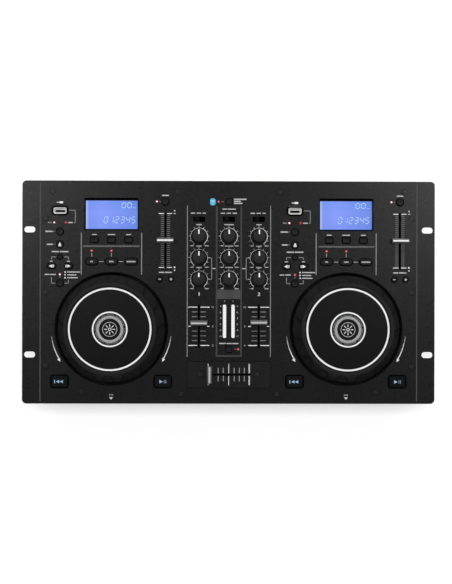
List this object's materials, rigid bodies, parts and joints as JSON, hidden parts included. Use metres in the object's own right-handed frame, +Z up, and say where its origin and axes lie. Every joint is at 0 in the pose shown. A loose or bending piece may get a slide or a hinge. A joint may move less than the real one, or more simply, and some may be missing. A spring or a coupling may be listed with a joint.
{
  "type": "dual disc dj player and mixer",
  "caption": "Rack-width tabletop console: a mixer between two slot-loading disc decks, each with a jog wheel, a display, keys and a pitch fader.",
  "frame": {"origin": "on the floor under the middle of the top panel", "axes": "+X along the panel's length to the user's right, +Y to the rear, +Z up"},
  "size_m": [0.4826, 0.2606, 0.1084],
  "materials": {
    "panel_enamel": "fine textured matt black enamel",
    "tub_enamel": "matt black enamel",
    "plate_enamel": "satin black enamel",
    "foot_rubber": "matt",
    "clear_window": "clear",
    "display_face": "lit blue display behind a black mask",
    "lamp_lens": "translucent red",
    "meter_lens": "translucent white",
    "socket_shell": "satin nickel",
    "board_laminate": "green solder mask",
    "track_body": "matt",
    "cradle_plastic": "matt",
    "drive_case": "satin grey",
    "bezel_plastic": "satin black",
    "jack_metal": "satin nickel",
    "phono_block": "black with metal barrels",
    "inlet_plastic": "satin black",
    "rocker_plastic": "gloss black",
    "wheel_plastic": "fine textured black",
    "fader_cap": "silver lacquer",
    "knob_plastic": "soft-touch black",
    "lever_plastic": "satin black",
    "pad_rubber": "satin silicone",
    "key_plastic": "satin black"
  },
  "bodies": {
    "console": {"top_panel": "panel_enamel", "chassis_tub": "tub_enamel", "crossfader_plate": "plate_enamel", "rubber_feet": "foot_rubber", "display_windows": "clear_window", "display_modules": "display_face", "status_lamps": "lamp_lens", "level_meters": "meter_lens", "stick_sockets": "socket_shell", "control_boards": "board_laminate", "fader_tracks": "track_body", "jog_cradles": "cradle_plastic", "disc_drives": "drive_case", "slot_bezels": "bezel_plastic", "front_jacks": "jack_metal", "phono_sockets": "phono_block", "mains_inlet": "inlet_plastic"},
    "jog_wheel_left": {"jog_wheel_left": "wheel_plastic"},
    "jog_wheel_right": {"jog_wheel_right": "wheel_plastic"},
    "crossfader": {"crossfader": "fader_cap"},
    "channel_fader_left": {"channel_fader_left": "fader_cap"},
    "channel_fader_right": {"channel_fader_right": "fader_cap"},
    "pitch_fader_left": {"pitch_fader_left": "fader_cap"},
    "pitch_fader_right": {"pitch_fader_right": "fader_cap"},
    "play_key_left": {"play_key_left": "pad_rubber"},
    "play_key_right": {"play_key_right": "pad_rubber"},
    "cue_key_left": {"cue_key_left": "pad_rubber"},
    "cue_key_right": {"cue_key_right": "pad_rubber"},
    "eject_key_left": {"eject_key_left": "key_plastic"},
    "eject_key_right": {"eject_key_right": "key_plastic"},
    "select_key_left": {"select_key_left": "key_plastic"},
    "select_key_right": {"select_key_right": "key_plastic"},
    "track_keys_left": {"track_keys_left": "key_plastic"},
    "track_keys_right": {"track_keys_right": "key_plastic"},
    "jog_mode_key_left": {"jog_mode_key_left": "key_plastic"},
    "jog_mode_key_right": {"jog_mode_key_right": "key_plastic"},
    "display_keys_left": {"display_keys_left": "key_plastic"},
    "display_keys_right": {"display_keys_right": "key_plastic"},
    "loop_keys_left": {"loop_keys_left": "key_plastic"},
    "loop_keys_right": {"loop_keys_right": "key_plastic"},
    "tempo_key_left": {"tempo_key_left": "key_plastic"},
    "tempo_key_right": {"tempo_key_right": "key_plastic"},
    "bend_keys_left": {"bend_keys_left": "key_plastic"},
    "bend_keys_right": {"bend_keys_right": "key_plastic"},
    "wireless_key": {"wireless_key": "key_plastic"},
    "fader_start_key": {"fader_start_key": "key_plastic"},
    "gain_knob_left": {"gain_knob_left": "knob_plastic"},
    "high_knob_left": {"high_knob_left": "knob_plastic"},
    "low_knob_left": {"low_knob_left": "knob_plastic"},
    "cue_volume_knob": {"cue_volume_knob": "knob_plastic"},
    "microphone_knob": {"microphone_knob": "knob_plastic"},
    "master_knob": {"master_knob": "knob_plastic"},
    "gain_knob_right": {"gain_knob_right": "knob_plastic"},
    "high_knob_right": {"high_knob_right": "knob_plastic"},
    "low_knob_right": {"low_knob_right": "knob_plastic"},
    "source_switch_left": {"source_switch_left": "lever_plastic"},
    "source_switch_middle": {"source_switch_middle": "lever_plastic"},
    "source_switch_right": {"source_switch_right": "lever_plastic"},
    "power_rocker": {"power_rocker": "rocker_plastic"}
  },
  "joints": [
    {"name": "jog_spin_left", "type": "hinge", "parent": "console", "child": "jog_wheel_left", "pos_m": [-0.1373, -0.0428, 0.09], "axis": [0, 0, 1], "continuous": true},
    {"name": "jog_spin_right", "type": "hinge", "parent": "console", "child": "jog_wheel_right", "pos_m": [0.1373, -0.0428, 0.09], "axis": [0, 0, 1], "continuous": true},
    {"name": "crossfade", "type": "slide", "parent": "console", "child": "crossfader", "axis": [1, 0, 0], "range_m": [0, 0.045]},
    {"name": "channel_level_left", "type": "slide", "parent": "console", "child": "channel_fader_left", "axis": [0, 1, 0], "range_m": [-0.0262, 0.0188]},
    {"name": "channel_level_right", "type": "slide", "parent": "console", "child": "channel_fader_right", "axis": [0, 1, 0], "range_m": [-0.027, 0.018]},
    {"name": "pitch_left", "type": "slide", "parent": "console", "child": "pitch_fader_left", "axis": [0, 1, 0], "range_m": [-0.03, 0.03]},
    {"name": "pitch_right", "type": "slide", "parent": "console", "child": "pitch_fader_right", "axis": [0, 1, 0], "range_m": [-0.03, 0.03]},
    {"name": "play_press_left", "type": "slide", "parent": "console", "child": "play_key_left", "axis": [0, 0, -1], "range_m": [0, 0.001], "stiffness_N_per_m": 300, "springref_m": -0.0005},
    {"name": "play_press_right", "type": "slide", "parent": "console", "child": "play_key_right", "axis": [0, 0, -1], "range_m": [0, 0.001], "stiffness_N_per_m": 300, "springref_m": -0.0005},
    {"name": "cue_press_left", "type": "slide", "parent": "console", "child": "cue_key_left", "axis": [0, 0, -1], "range_m": [0, 0.001], "stiffness_N_per_m": 300, "springref_m": -0.0005},
    {"name": "cue_press_right", "type": "slide", "parent": "console", "child": "cue_key_right", "axis": [0, 0, -1], "range_m": [0, 0.001], "stiffness_N_per_m": 300, "springref_m": -0.0005},
    {"name": "eject_press_left", "type": "slide", "parent": "console", "child": "eject_key_left", "axis": [0, 0, -1], "range_m": [0, 0.001], "stiffness_N_per_m": 300, "springref_m": -0.0005},
    {"name": "eject_press_right", "type": "slide", "parent": "console", "child": "eject_key_right", "axis": [0, 0, -1], "range_m": [0, 0.001], "stiffness_N_per_m": 300, "springref_m": -0.0005},
    {"name": "select_press_left", "type": "slide", "parent": "console", "child": "select_key_left", "axis": [0, 0, -1], "range_m": [0, 0.001], "stiffness_N_per_m": 300, "springref_m": -0.0005},
    {"name": "select_press_right", "type": "slide", "parent": "console", "child": "select_key_right", "axis": [0, 0, -1], "range_m": [0, 0.001], "stiffness_N_per_m": 300, "springref_m": -0.0005},
    {"name": "track_press_left", "type": "slide", "parent": "console", "child": "track_keys_left", "axis": [0, 0, -1], "range_m": [0, 0.001], "stiffness_N_per_m": 300, "springref_m": -0.0005},
    {"name": "track_press_right", "type": "slide", "parent": "console", "child": "track_keys_right", "axis": [0, 0, -1], "range_m": [0, 0.001], "stiffness_N_per_m": 300, "springref_m": -0.0005},
    {"name": "jog_mode_press_left", "type": "slide", "parent": "console", "child": "jog_mode_key_left", "axis": [0, 0, -1], "range_m": [0, 0.001], "stiffness_N_per_m": 300, "springref_m": -0.0005},
    {"name": "jog_mode_press_right", "type": "slide", "parent": "console", "child": "jog_mode_key_right", "axis": [0, 0, -1], "range_m": [0, 0.001], "stiffness_N_per_m": 300, "springref_m": -0.0005},
    {"name": "display_press_left", "type": "slide", "parent": "console", "child": "display_keys_left", "axis": [0, 0, -1], "range_m": [0, 0.001], "stiffness_N_per_m": 300, "springref_m": -0.0005},
    {"name": "display_press_right", "type": "slide", "parent": "console", "child": "display_keys_right", "axis": [0, 0, -1], "range_m": [0, 0.001], "stiffness_N_per_m": 300, "springref_m": -0.0005},
    {"name": "loop_press_left", "type": "slide", "parent": "console", "child": "loop_keys_left", "axis": [0, 0, -1], "range_m": [0, 0.001], "stiffness_N_per_m": 300, "springref_m": -0.0005},
    {"name": "loop_press_right", "type": "slide", "parent": "console", "child": "loop_keys_right", "axis": [0, 0, -1], "range_m": [0, 0.001], "stiffness_N_per_m": 300, "springref_m": -0.0005},
    {"name": "tempo_press_left", "type": "slide", "parent": "console", "child": "tempo_key_left", "axis": [0, 0, -1], "range_m": [0, 0.001], "stiffness_N_per_m": 300, "springref_m": -0.0005},
    {"name": "tempo_press_right", "type": "slide", "parent": "console", "child": "tempo_key_right", "axis": [0, 0, -1], "range_m": [0, 0.001], "stiffness_N_per_m": 300, "springref_m": -0.0005},
    {"name": "bend_press_left", "type": "slide", "parent": "console", "child": "bend_keys_left", "axis": [0, 0, -1], "range_m": [0, 0.001], "stiffness_N_per_m": 300, "springref_m": -0.0005},
    {"name": "bend_press_right", "type": "slide", "parent": "console", "child": "bend_keys_right", "axis": [0, 0, -1], "range_m": [0, 0.001], "stiffness_N_per_m": 300, "springref_m": -0.0005},
    {"name": "wireless_press", "type": "slide", "parent": "console", "child": "wireless_key", "axis": [0, 0, -1], "range_m": [0, 0.001], "stiffness_N_per_m": 300, "springref_m": -0.0005},
    {"name": "fader_start_press", "type": "slide", "parent": "console", "child": "fader_start_key", "axis": [0, 0, -1], "range_m": [0, 0.001], "stiffness_N_per_m": 300, "springref_m": -0.0005},
    {"name": "gain_knob_left_turn", "type": "hinge", "parent": "console", "child": "gain_knob_left", "pos_m": [-0.035, 0.0653, 0.09], "axis": [0, 0, 1], "range_deg": [-150, 150]},
    {"name": "high_knob_left_turn", "type": "hinge", "parent": "console", "child": "high_knob_left", "pos_m": [-0.035, 0.04025, 0.09], "axis": [0, 0, 1], "range_deg": [-150, 150]},
    {"name": "low_knob_left_turn", "type": "hinge", "parent": "console", "child": "low_knob_left", "pos_m": [-0.035, 0.0152, 0.09], "axis": [0, 0, 1], "range_deg": [-150, 150]},
    {"name": "cue_volume_knob_turn", "type": "hinge", "parent": "console", "child": "cue_volume_knob", "pos_m": [0, 0.0653, 0.09], "axis": [0, 0, 1], "range_deg": [-150, 150]},
    {"name": "microphone_knob_turn", "type": "hinge", "parent": "console", "child": "microphone_knob", "pos_m": [0, 0.04025, 0.09], "axis": [0, 0, 1], "range_deg": [-150, 150]},
    {"name": "master_knob_turn", "type": "hinge", "parent": "console", "child": "master_knob", "pos_m": [0, 0.0152, 0.09], "axis": [0, 0, 1], "range_deg": [-150, 150]},
    {"name": "gain_knob_right_turn", "type": "hinge", "parent": "console", "child": "gain_knob_right", "pos_m": [0.035, 0.0653, 0.09], "axis": [0, 0, 1], "range_deg": [-150, 150]},
    {"name": "high_knob_right_turn", "type": "hinge", "parent": "console", "child": "high_knob_right", "pos_m": [0.035, 0.04025, 0.09], "axis": [0, 0, 1], "range_deg": [-150, 150]},
    {"name": "low_knob_right_turn", "type": "hinge", "parent": "console", "child": "low_knob_right", "pos_m": [0.035, 0.0152, 0.09], "axis": [0, 0, 1], "range_deg": [-150, 150]},
    {"name": "source_slide_left", "type": "slide", "parent": "console", "child": "source_switch_left", "axis": [1, 0, 0], "range_m": [0, 0.0052]},
    {"name": "source_slide_middle", "type": "slide", "parent": "console", "child": "source_switch_middle", "axis": [1, 0, 0], "range_m": [0, 0.0052]},
    {"name": "source_slide_right", "type": "slide", "parent": "console", "child": "source_switch_right", "axis": [1, 0, 0], "range_m": [0, 0.0052]},
    {"name": "power_rock", "type": "hinge", "parent": "console", "child": "power_rocker", "pos_m": [0.189, 0.1218, 0.048], "axis": [1, 0, 0], "range_deg": [-14, 0]}
  ]
}
